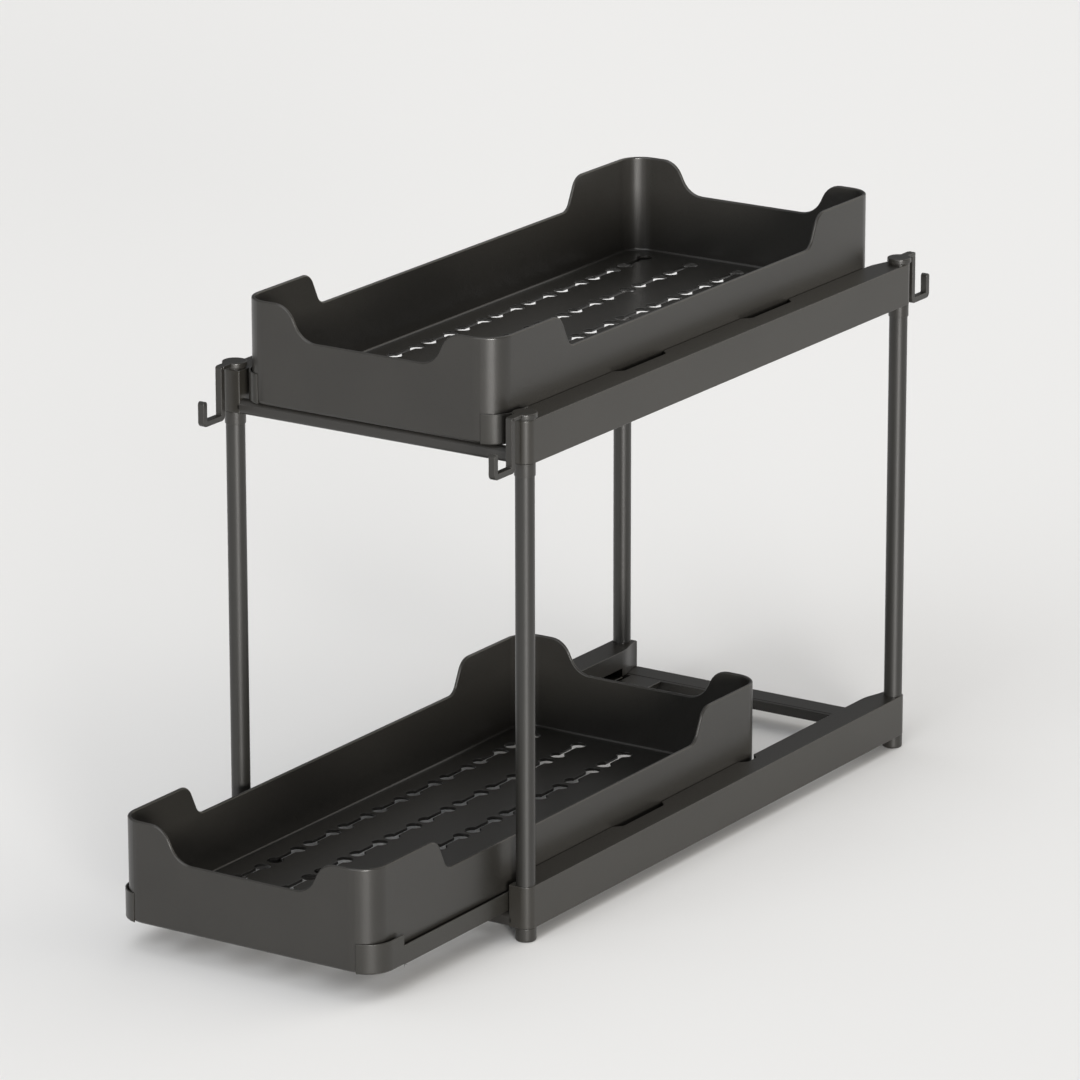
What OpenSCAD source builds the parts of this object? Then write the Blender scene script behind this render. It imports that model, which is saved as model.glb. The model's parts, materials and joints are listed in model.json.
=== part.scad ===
// Two-tier under sink organizer: two baskets that slide out of side rails on four posts.
// Millimetres. X is the width, -Y the front and +Z up.
// The origin is on the floor, midway between the four feet.

/* [Basket] */
// Outside width of a basket
basket_w = 162; // [120:0.5:260]
// Outside length of a basket, front to back
basket_l = 386; // [300:1:480]
// Height of the raised corners above the basket's bottom
corner_h = 57.2; // [50:0.1:90]
// Height of the low rim between the corners
rim_h = 38.6; // [30:0.1:44]
// Thickness of the basket's walls
wall_t = 2; // [1.4:0.1:3]
// Thickness of the basket's floor
floor_t = 2.1; // [1:0.1:2.5]
// Radius of the basket's upright corners
corner_r = 15; // [9:0.1:24]
// Radius of the outer edge round the basket's bottom
bottom_r = 2.5; // [1:0.1:5]
// Radius of the inner edge where the walls meet the floor
floor_r = 1.5; // [0.5:0.1:4]

/* [Rim curve] */
// Distance from the middle of the front wall to the middle of its curve
end_dip = 46; // [30:0.5:52]
// Distance from the middle of a side wall to the middle of its curve
side_dip = 127.5; // [80:0.5:140]
// Radius of the upper arc in a front or back wall
end_top_r = 13; // [5:0.1:16]
// Radius of the lower arc in a front or back wall
end_low_r = 14; // [5:0.1:16]
// Radius of the upper arc in a side wall
side_top_r = 10; // [5:0.1:16]
// Radius of the lower arc in a side wall
side_low_r = 7; // [5:0.1:16]
// Slope of the straight run between the two arcs, in degrees
dip_slope = 64; // [45:1:80]

/* [Floor slots] */
// Number of slot rows across the floor
slot_rows = 5; // [1:1:7]
// Number of slots in a row
slot_count = 11; // [1:1:12]
// Distance between two rows
row_pitch = 31; // [14:0.5:36]
// Distance from one slot to the next in a row
slot_pitch = 33.1; // [32:0.1:38]
// Distance between the two round ends of a slot
slot_span = 21.2; // [12:0.1:22]
// Diameter of the round ends
slot_end_d = 9; // [5:0.1:9.5]
// Width of the neck between the round ends
slot_neck = 3; // [1.5:0.1:4.5]

/* [Runner] */
// How far a runner stands out from the basket's side
runner_t = 3; // [2:0.1:5]
// Gap between the runner's top and the flange above it
runner_top_gap = 1.3; // [0.4:0.1:3]
// Distance from the basket's back to the runner's rear end
runner_short = 50; // [45:0.5:120]
// Thickness of the lip outside the runner's groove
lip_t = 1; // [0.6:0.1:1.5]
// Depth of the groove
groove_d = 4; // [1:0.1:6]
// Length of the pad that wraps the front corner
pad_l = 26.2; // [22:0.1:40]
// Height of the pad's top above the rail's top
pad_rise = 1.2; // [0:0.1:3]
// How far the pad stands out from the basket's front
pad_proud = 0.2; // [0:0.1:1.5]
// Depth of the seat for the pad in the basket's front
pad_seat = 0.8; // [0.3:0.1:1.1]
// Distance from the basket's side to the front edge of the pad
pad_wrap = 10.2; // [6:0.1:14]
// Radius of the pad's corner
pad_r = 16; // [12:0.1:20]
// How far the stop lug reaches into the rail
lug_reach = 4; // [2:0.1:6]
// Length of the stop lug
lug_l = 10; // [6:0.5:20]

/* [Rail] */
// Height of a rail
rail_h = 23.6; // [21:0.1:28]
// Thickness of the rail's upright web
web_t = 2.2; // [1.5:0.1:3]
// Thickness of the rail's top flange
flange_t = 3.6; // [2:0.1:3.9]
// Thickness of the ledge that carries the runner
ledge_t = 3.2; // [2:0.1:4.5]
// Height of the ledge's top above the rail's bottom
ledge_z = 7.9; // [7:0.1:8.5]
// Length of the solid block at each end of the rail
block_l = 22.4; // [19:0.1:28]
// Wall between the post and the inner face of the block
block_wall = 1.8; // [1.7:0.1:4]
// Wall round the post on the outside of the block
boss_wall = 0.6; // [0.5:0.05:2]
// Depth of the notches in the flange's inner edge
notch_depth = 4.2; // [1:0.1:6]
// Fillet in the inner corners of a notch
notch_r = 3; // [1:0.1:4]
// Length of a notch at its mouth
notch_l = 50; // [30:0.5:60]
// Distance from the middle of the rail to the near end of a notch
notch_from = 39.8; // [20:0.1:60]
// Length of the short rear notch in a lower rail
short_notch_l = 17; // [12:0.5:60]
// Length of the skirt under the flange, at the rear end of the channel
skirt_l = 40; // [10:0.5:44]
// Height of the skirt's lower edge above the rail's bottom
skirt_z = 13; // [11:0.1:18]
// Distance from the closed basket's back to the rail's rear end
rear_margin = 13.5; // [8:0.5:30]

/* [Posts and feet] */
// Outside diameter of a post
post_d = 10.4; // [8:0.1:12]
// Wall thickness of a post
post_wall = 0.8; // [0.5:0.1:1.5]
// Height from the lower rail's bottom to the upper rail's bottom
tier_pitch = 255.8; // [150:0.1:360]
// Height of a foot
foot_h = 7.7; // [5:0.1:15]
// Diameter of a foot
foot_d = 11.4; // [10.8:0.1:11.6]
// Radius of a foot's bottom edge
foot_edge = 1.2; // [0.5:0.1:3]
// Length of the foot's stem inside the rail
stem_l = 3.1; // [2:0.1:5]
// Height of the collar under the upper rail
collar_h = 7; // [3:0.1:14]
// Wall thickness of the collar
collar_wall = 0.45; // [0.4:0.05:0.7]

/* [Cross members] */
// Depth of the front bar, front to back
bar_d = 7; // [5:0.1:9]
// Gap between the front bar's top and the runners that pass over it
bar_gap = 0.5; // [0.3:0.1:2]
// Radius of the front bar's edges
bar_r = 3; // [1:0.1:3.4]
// How far the front bar hangs below the rails
bar_drop = 0.5; // [0:0.1:2]
// Length of the bar's end inside the block
bar_seat = 1.3; // [0.6:0.1:1.5]
// Depth of the rear beam, front to back
beam_d = 17; // [14:0.1:19]
// Height of the rear beam
beam_h = 6; // [4:0.1:7]
// Width of the low strip along the beam's front edge
beam_strip = 2.3; // [1:0.1:5]
// Depth of the low strip
beam_strip_depth = 0.2; // [0.1:0.1:1.5]
// Length of the beam's tenon
tenon_l = 6; // [3:0.1:8]
// Height of the tenon
tenon_h = 3.4; // [2:0.1:3.6]
// Width of each tongue of the rear beam
tongue_w = 21; // [10:0.5:30]
// Length of each tongue
tongue_l = 22; // [10:0.5:40]
// Thickness of each tongue
tongue_t = 3; // [2:0.1:4]
// Distance from the tongue to the rail's block
tongue_gap = 6; // [5:0.1:12]

/* [Hooks] */
// Diameter of the hook's cap
cap_d = 13.6; // [12.4:0.1:14]
// Height of the cap
cap_t = 2.8; // [1:0.1:4]
// Diameter of the shank under the cap
shank_d = 12; // [11:0.1:12.2]
// Height of the shank
shank_h = 0.8; // [0.5:0.1:2]
// Length of the plug in the rail's bore
plug_l = 4; // [2:0.1:8]
// Width of the hook's band
band_w = 4; // [2.5:0.1:5]
// Thickness of the hook's band
band_t = 3.3; // [2:0.1:4]
// Gap between the band and the rail's end
band_gap = 5.9; // [1:0.1:10]
// How far the band hangs below the rail
band_drop = 2.7; // [1:0.1:12]
// Reach of the hook's foot from the band's front face
hook_reach = 16.1; // [9:0.1:25]
// Height of the hook's upturned tip
tip_h = 14; // [9:0.1:20]
// Radius of the hook's lower corners
hook_r = 2.8; // [1:0.1:4]
// Radius of the edge at the band's top
band_edge = 1.2; // [0.4:0.1:1.6]
// Width of the neck between the cap and the band
neck_w = 5; // [4:0.1:8]
// Thickness of the neck
neck_t = 2; // [1:0.1:2.8]

/* [Fits and travel] */
// Gap between the flange and the basket's side
flange_gap = 0.35; // [0.3:0.05:1]
// Gap between the runner and the block
runner_gap = 1.35; // [1.35:0.05:3]
// Gap between the runner and the ledge below it
ride_gap = 0.3; // [0.3:0.05:0.4]
// Gap between the runner's bottom and the basket's bottom
bottom_gap = 0.2; // [0.1:0.05:0.5]
// Gap between the pad and the end of the flange when a drawer is shut
stop_gap = 0.3; // [0.3:0.05:1]
// Gap between a post and the bore that it stands in
post_fit = 0.05; // [0.02:0.01:0.15]
// Gap round the ends of the cross members
seat_fit = 0.1; // [0.05:0.01:0.2]
// How far a drawer comes out before its stop lugs meet the front blocks
travel = 240; // [150:1:260]
// How far the lower drawer stands open
lower_open = 117.7; // [0:0.1:150]

/* [Hidden] */
$fn = 64;
eps = 0.01;
side_x = basket_w / 2;
runner_x = side_x + runner_t;
block_x = runner_x + runner_gap;
bore_r = post_d / 2 + post_fit;
boss_r = bore_r + boss_wall;
post_x = block_x + block_wall + bore_r;
rail_x = post_x + boss_r;
flange_x = side_x + flange_gap;
front_over = pad_l + stop_gap - block_l;
rail_l = basket_l - front_over + rear_margin;
rail_y = rail_l / 2;
post_y = rail_y - boss_r;
channel_y = rail_y - block_l;
closed_y = -rail_y - front_over + basket_l / 2;
lower_rail_z = foot_h;
upper_rail_z = foot_h + tier_pitch;
runner_z = ledge_z + ride_gap;
basket_z = runner_z + bottom_gap;
runner_h = rail_h - flange_t - runner_top_gap - runner_z;
pad_h = rail_h + pad_rise - runner_z;
bar_top = runner_z - bar_gap;
cap_top = shank_h + cap_t;
stem_top = stem_l + eps;
tenon_y = post_y - bore_r - block_wall;

mould = [0.29, 0.28, 0.26];
mould_light = [0.33, 0.32, 0.29];
tube_grey = [0.24, 0.24, 0.23];

// Mirrors what it holds to the left side when side is -1
module on_side(side) {
    mirror([side < 0 ? 1 : 0, 0, 0]) children();
}

// A rectangle with four round corners, from y0 to y1 and centred on X
module round_rect(w, y0, y1, r) {
    translate([-w / 2 + r, y0]) square([w - 2 * r, y1 - y0]);
    translate([-w / 2, y0 + r]) square([w, y1 - y0 - 2 * r]);
    for (x = [-w / 2 + r, w / 2 - r], y = [y0 + r, y1 - r])
        translate([x, y]) circle(r = r);
}

// The rail's end block seen from above: square inside, round about the post outside
module block_plan() {
    translate([block_x, channel_y]) square([post_x - block_x, block_l]);
    translate([post_x - eps, channel_y]) square([boss_r + eps, block_l - boss_r]);
    translate([post_x, post_y]) circle(r = boss_r);
}

// A notch in the flange's inner edge from y0 to y1, with slanted ends and round inner corners
module notch_plan(y0, y1) {
    deep_x = flange_x + notch_depth;
    turn = notch_depth + notch_r * tan(22.5);
    polygon(concat([[flange_x - 1, y0 - 1]],
                   arc(deep_x - notch_r, y0 + turn, notch_r, -45, 0),
                   arc(deep_x - notch_r, y1 - turn, notch_r, 0, 45),
                   [[flange_x - 1, y1 + 1]]));
}

// The front bar's section, in Y and Z from the rail's bottom
module bar_section(grow) {
    round_rect(bar_d + 2 * grow, -bar_drop - grow, bar_top + grow, bar_r + grow);
}

module front_bar_solid(half_l, grow) {
    translate([-half_l, -rail_y + bar_d / 2, 0])
        rotate([90, 0, 90]) linear_extrude(2 * half_l) bar_section(grow);
}

module tenon_solid(grow) {
    x_end = block_x + tenon_l + grow;
    translate([-x_end, rail_y - beam_d - grow, ledge_z - beam_h / 2 - tenon_h / 2 - grow])
        cube([2 * x_end, tenon_y - rail_y + beam_d + 2 * grow, tenon_h + 2 * grow]);
}

// One moulded rail: web, notched flange, ledge, rear skirt and a post block at each end
module rail(side, rear_notch_l) {
    on_side(side) difference() {
        union() {
            translate([rail_x - web_t, -channel_y - 1, 0]) cube([web_t, 2 * channel_y + 2, rail_h]);
            translate([flange_x, -channel_y, ledge_z - ledge_t])
                cube([rail_x - flange_x - eps, 2 * channel_y, ledge_t]);
            translate([0, 0, rail_h - flange_t]) linear_extrude(flange_t) difference() {
                translate([flange_x, -channel_y]) square([rail_x - flange_x - eps, 2 * channel_y]);
                notch_plan(-notch_from - notch_l, -notch_from);
                notch_plan(notch_from, notch_from + rear_notch_l);
            }
            translate([flange_x, channel_y - skirt_l, skirt_z])
                cube([web_t, skirt_l, rail_h - flange_t - skirt_z + eps]);
            linear_extrude(rail_h) block_plan();
            linear_extrude(rail_h) mirror([0, 1, 0]) block_plan();
        }
        for (y = [-post_y, post_y])
            translate([post_x, y, -1]) cylinder(r = bore_r, h = rail_h + 2);
        front_bar_solid(block_x + bar_seat + seat_fit, seat_fit);
        tenon_solid(seat_fit);
    }
}

// A tube from the foot's stem up to the plug of the hook
module post(side, end) {
    color(tube_grey) translate([side * post_x, end * post_y, lower_rail_z + stem_top])
        difference() {
            cylinder(d = post_d, h = tier_pitch + rail_h - plug_l - stem_top - eps);
            translate([0, 0, -1]) cylinder(d = post_d - 2 * post_wall, h = tier_pitch + rail_h);
        }
}

// A ring on the post, seated under the upper rail
module collar(side, end) {
    color(mould) translate([side * post_x, end * post_y, upper_rail_z - collar_h])
        difference() {
            cylinder(r = bore_r + collar_wall, h = collar_h);
            translate([0, 0, -1]) cylinder(r = bore_r, h = collar_h + 2);
        }
}

// A turned foot: a peg with a round bottom edge and a stem that carries the post
module foot(side, end) {
    color(mould) translate([side * post_x, end * post_y, 0]) union() {
        rotate_extrude() {
            square([foot_d / 2 - foot_edge, foot_h]);
            translate([0, foot_edge]) square([foot_d / 2, foot_h - foot_edge]);
            intersection() {
                translate([foot_d / 2 - foot_edge, foot_edge]) circle(r = foot_edge);
                square([foot_d / 2, foot_h]);
            }
        }
        cylinder(d = post_d, h = foot_h + stem_l);
    }
}

module front_bar(z) {
    color(mould) translate([0, 0, z]) front_bar_solid(block_x + bar_seat, 0);
}

// The flat beam between the rear blocks, with two tongues that reach forward
module rear_beam(z) {
    front_y = rail_y - beam_d;
    color(mould_light) translate([0, 0, z]) union() {
        difference() {
            translate([-block_x + seat_fit, front_y, ledge_z - beam_h])
                cube([2 * (block_x - seat_fit), beam_d, beam_h]);
            translate([-block_x, front_y - 1, ledge_z - beam_strip_depth])
                cube([2 * block_x, beam_strip + 1, beam_h]);
        }
        tenon_solid(0);
        for (side = [-1, 1]) on_side(side)
            translate([block_x - tongue_gap - tongue_w, front_y - tongue_l,
                       ledge_z - beam_strip_depth - tongue_t])
                cube([tongue_w, tongue_l + 1, tongue_t]);
    }
}

// The hook's outline seen from the side: band, foot and upturned tip with round corners
module hook_outline() {
    back_y = -boss_r - band_gap;
    tip_y = back_y - band_t - hook_reach;
    low_z = -rail_h - band_drop;
    translate([back_y - band_t / 2, 0])
        round_rect(band_t, low_z + band_t - band_edge, cap_top, band_edge);
    difference() {
        translate([(back_y + tip_y) / 2, 0]) round_rect(back_y - tip_y, low_z, low_z + 2 * tip_h, hook_r);
        translate([tip_y + band_t, low_z + band_t]) square([back_y - tip_y, 2 * tip_h]);
        translate([tip_y - 1, low_z + tip_h - band_t / 2]) square([band_t + 2, 2 * tip_h]);
    }
    translate([tip_y + band_t / 2, low_z + tip_h - band_t / 2]) circle(d = band_t);
}

// A hook that plugs into the top of an upper rail, turned to the front or to the back
module hook(side, end) {
    neck_l = boss_r + band_gap + band_t / 2;
    color(mould) translate([side * post_x, end * post_y, upper_rail_z + rail_h])
        rotate([0, 0, end > 0 ? 180 : 0]) union() {
            translate([0, 0, -plug_l]) cylinder(d = post_d, h = plug_l + cap_top);
            cylinder(d = shank_d, h = cap_top);
            translate([0, 0, shank_h]) cylinder(d = cap_d, h = cap_t);
            translate([-neck_w / 2, -neck_l, cap_top - neck_t]) cube([neck_w, neck_l, neck_t]);
            translate([-band_w / 2, 0, 0])
                rotate([90, 0, 90]) linear_extrude(band_w) hook_outline();
        }
}

// Section of the basket's wall and of the floor next to it; u runs inwards from the outside
module wall_section() {
    difference() {
        union() {
            translate([0, bottom_r]) square([wall_t, corner_h - bottom_r]);
            translate([bottom_r, 0]) square([corner_r - bottom_r, floor_t]);
            intersection() {
                square([max(wall_t + floor_r, bottom_r), max(floor_t + floor_r, bottom_r)]);
                union() {
                    translate([bottom_r, bottom_r]) circle(r = bottom_r);
                    translate([bottom_r, 0]) square([corner_r, corner_r]);
                    translate([0, bottom_r]) square([corner_r, corner_r]);
                }
            }
        }
        translate([wall_t + floor_r, floor_t + floor_r]) circle(r = floor_r);
        translate([wall_t + floor_r, floor_t]) square([corner_r, corner_h]);
        translate([wall_t, floor_t + floor_r]) square([corner_r, corner_h]);
    }
}

// Points of an arc about (cx, cy), from angle a0 to a1
function arc(cx, cy, r, a0, a1, steps = 10) =
    [for (i = [0:steps]) let (a = a0 + (a1 - a0) * i / steps) [cx + r * cos(a), cy + r * sin(a)]];

// One half of the dip in a rim: a convex arc, a straight run and a concave arc
function dip_half(mid, top_r, low_r) =
    let (drop = corner_h - rim_h,
         share = min(1, drop / ((top_r + low_r) * (1 - cos(dip_slope)))),
         top = top_r * share,
         low = low_r * share,
         run_dx = (drop - (top + low) * (1 - cos(dip_slope))) / tan(dip_slope),
         half_dx = (run_dx + (top + low) * sin(dip_slope)) / 2)
    concat(arc(mid + half_dx, corner_h - top, top, 90, 90 + dip_slope),
           arc(mid - half_dx, rim_h + low, low, 270 + dip_slope, 270));

// The air above the low rim, between the two curves
module dip_plan(mid, top_r, low_r) {
    half = dip_half(mid, top_r, low_r);
    left = [for (i = [len(half) - 1:-1:0]) [-half[i][0], half[i][1]]];
    above = corner_h + wall_t;
    polygon(concat([[-half[0][0], above], [half[0][0], above]], half, left));
}

module slot_plan() {
    for (y = [-slot_span / 2, slot_span / 2]) translate([0, y]) circle(d = slot_end_d, $fn = 32);
    translate([-slot_neck / 2, -slot_span / 2]) square([slot_neck, slot_span]);
}

// A moulded basket, centred on its own middle with its bottom at z = 0
module basket_shape() {
    straight_x = basket_w - 2 * corner_r;
    straight_y = basket_l - 2 * corner_r;
    difference() {
        union() {
            translate([-straight_x / 2, -straight_y / 2, 0]) cube([straight_x, straight_y, floor_t]);
            for (turn = [0, 180]) rotate([0, 0, turn]) {
                translate([-straight_x / 2, -basket_l / 2, 0])
                    rotate([90, 0, 90]) linear_extrude(straight_x) wall_section();
                translate([basket_w / 2, -straight_y / 2, 0])
                    rotate([90, 0, 180]) linear_extrude(straight_y) wall_section();
            }
            for (x = [-1, 1], y = [-1, 1])
                translate([x * straight_x / 2, y * straight_y / 2, 0])
                    rotate([0, 0, x > 0 ? (y > 0 ? 0 : 270) : (y > 0 ? 90 : 180)])
                        rotate_extrude(angle = 90)
                            translate([corner_r, 0]) mirror([1, 0]) wall_section();
        }
        translate([0, basket_l / 2 + 1, 0])
            rotate([90, 0, 0]) linear_extrude(basket_l + 2) dip_plan(end_dip, end_top_r, end_low_r);
        translate([-basket_w / 2 - 1, 0, 0])
            rotate([90, 0, 90]) linear_extrude(basket_w + 2) dip_plan(side_dip, side_top_r, side_low_r);
        translate([0, 0, -1]) linear_extrude(floor_t + 2)
            for (i = [0:slot_rows - 1], j = [0:slot_count - 1])
                translate([(i - (slot_rows - 1) / 2) * row_pitch, (j - (slot_count - 1) / 2) * slot_pitch])
                    slot_plan();
        for (side = [-1, 1]) on_side(side) translate([0, 0, -1])
            linear_extrude(pad_h - bottom_gap + 1) difference() {
                pad_area();
                pad_back();
            }
    }
}

module basket(rail_z, open) {
    color(mould) translate([0, closed_y - open, rail_z + basket_z]) basket_shape();
}

// The area that a corner pad takes up, from its front edge to its rear end
module pad_area() {
    translate([side_x - pad_wrap, -basket_l / 2 - pad_proud - 1])
        square([pad_wrap + runner_t + 1, pad_l + pad_proud + 1]);
}

// The outline behind a corner pad: the basket's own, cut back by the seat in front
module pad_back() {
    round_rect(basket_w, -basket_l / 2 + pad_seat, basket_l / 2, corner_r);
}

// The pad's outline at the front corner
module pad_plan() {
    front = -basket_l / 2 - pad_proud;
    difference() {
        intersection() {
            round_rect(2 * runner_x, front, -front, pad_r);
            pad_area();
        }
        pad_back();
    }
}

// The groove between the pad's lip and the basket
module pad_groove() {
    front = -basket_l / 2 - pad_proud + lip_t;
    intersection() {
        round_rect(2 * (runner_x - lip_t), front, -front, pad_r - lip_t);
        pad_area();
    }
}

// The strip on a basket's side: a grooved band, the corner pad in front and the stop lug
module runner_shape() {
    band_y = -basket_l / 2 + pad_l - eps;
    back_y = basket_l / 2 - runner_short;
    lug_y = -channel_y + stop_gap + travel - closed_y;
    difference() {
        linear_extrude(pad_h) pad_plan();
        translate([0, 0, pad_h - groove_d]) linear_extrude(groove_d + 1) pad_groove();
    }
    translate([side_x, band_y, 0]) cube([runner_t, back_y - band_y, runner_h - groove_d]);
    translate([runner_x - lip_t, band_y, 0]) cube([lip_t, back_y - band_y, runner_h]);
    translate([runner_x - eps, lug_y, 0]) cube([lug_reach + eps, lug_l, runner_h]);
}

module runner(side, rail_z, open) {
    color(mould) translate([0, closed_y - open, rail_z + runner_z]) on_side(side) runner_shape();
}

module lower_left_rail() { color(mould) translate([0, 0, lower_rail_z]) rail(-1, short_notch_l); }
module lower_right_rail() { color(mould) translate([0, 0, lower_rail_z]) rail(1, short_notch_l); }
module upper_left_rail() { color(mould) translate([0, 0, upper_rail_z]) rail(-1, notch_l); }
module upper_right_rail() { color(mould) translate([0, 0, upper_rail_z]) rail(1, notch_l); }

lower_left_rail();
lower_right_rail();
upper_left_rail();
upper_right_rail();
post(-1, -1);  // front_left_post
post(1, -1);  // front_right_post
post(-1, 1);  // rear_left_post
post(1, 1);  // rear_right_post
collar(-1, -1);  // front_left_collar
collar(1, -1);  // front_right_collar
collar(-1, 1);  // rear_left_collar
collar(1, 1);  // rear_right_collar
foot(-1, -1);  // front_left_foot
foot(1, -1);  // front_right_foot
foot(-1, 1);  // rear_left_foot
foot(1, 1);  // rear_right_foot
front_bar(lower_rail_z);  // lower_front_bar
front_bar(upper_rail_z);  // upper_front_bar
rear_beam(lower_rail_z);  // lower_rear_beam
rear_beam(upper_rail_z);  // upper_rear_beam
hook(-1, -1);  // front_left_hook
hook(1, -1);  // front_right_hook
hook(-1, 1);  // rear_left_hook
hook(1, 1);  // rear_right_hook
basket(upper_rail_z, 0);  // upper_basket
runner(-1, upper_rail_z, 0);  // upper_left_runner
runner(1, upper_rail_z, 0);  // upper_right_runner
basket(lower_rail_z, lower_open);  // lower_basket
runner(-1, lower_rail_z, lower_open);  // lower_left_runner
runner(1, lower_rail_z, lower_open);  // lower_right_runner
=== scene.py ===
import json

import bpy
import bmesh
import numpy as np
from mathutils import Matrix, Vector


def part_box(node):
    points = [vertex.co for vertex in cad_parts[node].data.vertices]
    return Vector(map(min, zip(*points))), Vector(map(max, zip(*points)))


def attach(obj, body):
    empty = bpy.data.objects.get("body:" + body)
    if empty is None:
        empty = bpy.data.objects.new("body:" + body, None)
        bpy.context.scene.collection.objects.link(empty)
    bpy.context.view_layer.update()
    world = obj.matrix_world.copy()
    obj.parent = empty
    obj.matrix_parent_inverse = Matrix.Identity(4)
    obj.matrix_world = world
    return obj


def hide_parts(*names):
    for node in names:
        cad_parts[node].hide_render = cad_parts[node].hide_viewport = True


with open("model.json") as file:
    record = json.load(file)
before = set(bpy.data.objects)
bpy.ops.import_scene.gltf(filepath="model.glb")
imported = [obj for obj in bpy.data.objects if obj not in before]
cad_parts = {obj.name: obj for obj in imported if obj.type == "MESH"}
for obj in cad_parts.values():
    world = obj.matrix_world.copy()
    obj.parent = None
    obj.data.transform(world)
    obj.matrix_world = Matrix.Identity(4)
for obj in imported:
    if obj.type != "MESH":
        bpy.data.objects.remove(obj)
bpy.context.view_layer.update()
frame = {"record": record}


# The four side rails, each one injection moulding in dark warm-grey polypropylene.
# A C-shaped section with a notched top flange runs between two solid end blocks, and
# the mould is spark-eroded, so every face has a fine matt grain and slightly rounded edges.
rail_colour = (0.0160, 0.0148, 0.0124)
rail_roughness = 0.32
rail_edge = 0.0005
sharp_turn = 0.65
web_t = 0.0022
flange_t = 0.0036
ledge_z = 0.0079
ledge_t = 0.0032
skirt_z = 0.013
skirt_l = 0.040
block_x = 0.08535
block_l = 0.0224
flange_gap = 0.00035
post_fit = 0.00005
notch_depth = 0.0042
notch_r = 0.003
notch_l = 0.050
notch_from = 0.0398
short_notch_l = 0.017
node_of_slot = {}
for entry in frame["record"]["subparts"]:
    node_of_slot.setdefault(entry["material_slot"], []).append(entry["node"])
body_of = {node: body for body, nodes in frame["record"]["behaviour"]["bodies"].items() for node in nodes}


def new_group(name, inputs, outputs):
    """An empty node group with float and colour sockets, and its two end nodes."""
    group = bpy.data.node_groups.new(name, "ShaderNodeTree")
    for label, kind, value in inputs:
        socket = group.interface.new_socket(label, in_out="INPUT", socket_type=kind)
        socket.default_value = value
    for label, kind in outputs:
        group.interface.new_socket(label, in_out="OUTPUT", socket_type=kind)
    return group, group.nodes.new("NodeGroupInput"), group.nodes.new("NodeGroupOutput")


def grain_group():
    """Spark-eroded grain: two octaves of noise give a height, and the same noise shifts the
    roughness by Spread to both sides of Level."""
    group, given, result = new_group(
        "spark_grain",
        [("Cells per Metre", "NodeSocketFloat", 2600.0), ("Level", "NodeSocketFloat", 0.4),
         ("Spread", "NodeSocketFloat", 0.05)],
        [("Height", "NodeSocketFloat"), ("Roughness", "NodeSocketFloat")])
    place = group.nodes.new("ShaderNodeTexCoord")
    noise = group.nodes.new("ShaderNodeTexNoise")
    noise.inputs["Detail"].default_value = 2.0
    noise.inputs["Roughness"].default_value = 0.6
    low = group.nodes.new("ShaderNodeMath")
    low.operation = "SUBTRACT"
    high = group.nodes.new("ShaderNodeMath")
    high.operation = "ADD"
    spread = group.nodes.new("ShaderNodeMapRange")
    spread.inputs["From Min"].default_value = 0.3
    spread.inputs["From Max"].default_value = 0.7
    link = group.links.new
    link(place.outputs["Object"], noise.inputs["Vector"])
    link(given.outputs["Cells per Metre"], noise.inputs["Scale"])
    link(given.outputs["Level"], low.inputs[0])
    link(given.outputs["Spread"], low.inputs[1])
    link(given.outputs["Level"], high.inputs[0])
    link(given.outputs["Spread"], high.inputs[1])
    link(noise.outputs["Fac"], spread.inputs["Value"])
    link(low.outputs["Value"], spread.inputs["To Min"])
    link(high.outputs["Value"], spread.inputs["To Max"])
    link(noise.outputs["Fac"], result.inputs["Height"])
    link(spread.outputs["Result"], result.inputs["Roughness"])
    return group


def drift_group():
    """Slow drift of the tone, as pigment and flow marks leave it: the colour is scaled by a
    factor that a soft noise, drawn out along the length, moves to both sides of one."""
    group, given, result = new_group(
        "tone_drift",
        [("Colour", "NodeSocketColor", (0.04, 0.04, 0.04, 1)), ("Amount", "NodeSocketFloat", 0.08)],
        [("Colour", "NodeSocketColor")])
    place = group.nodes.new("ShaderNodeTexCoord")
    stretch = group.nodes.new("ShaderNodeMapping")
    stretch.inputs["Scale"].default_value = (1.0, 0.35, 1.0)
    cloud = group.nodes.new("ShaderNodeTexNoise")
    cloud.inputs["Scale"].default_value = 34.0
    cloud.inputs["Detail"].default_value = 2.0
    low = group.nodes.new("ShaderNodeMath")
    low.operation = "SUBTRACT"
    low.inputs[0].default_value = 1.0
    high = group.nodes.new("ShaderNodeMath")
    high.operation = "ADD"
    high.inputs[0].default_value = 1.0
    factor = group.nodes.new("ShaderNodeMapRange")
    factor.inputs["From Min"].default_value = 0.3
    factor.inputs["From Max"].default_value = 0.7
    scaled = group.nodes.new("ShaderNodeVectorMath")
    scaled.operation = "SCALE"
    link = group.links.new
    link(place.outputs["Object"], stretch.inputs["Vector"])
    link(stretch.outputs["Vector"], cloud.inputs["Vector"])
    link(given.outputs["Amount"], low.inputs[1])
    link(given.outputs["Amount"], high.inputs[1])
    link(cloud.outputs["Fac"], factor.inputs["Value"])
    link(low.outputs["Value"], factor.inputs["To Min"])
    link(high.outputs["Value"], factor.inputs["To Max"])
    link(given.outputs["Colour"], scaled.inputs[0])
    link(factor.outputs["Result"], scaled.inputs["Scale"])
    link(scaled.outputs["Vector"], result.inputs["Colour"])
    return group


spark_grain = grain_group()
tone_drift = drift_group()


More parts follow.
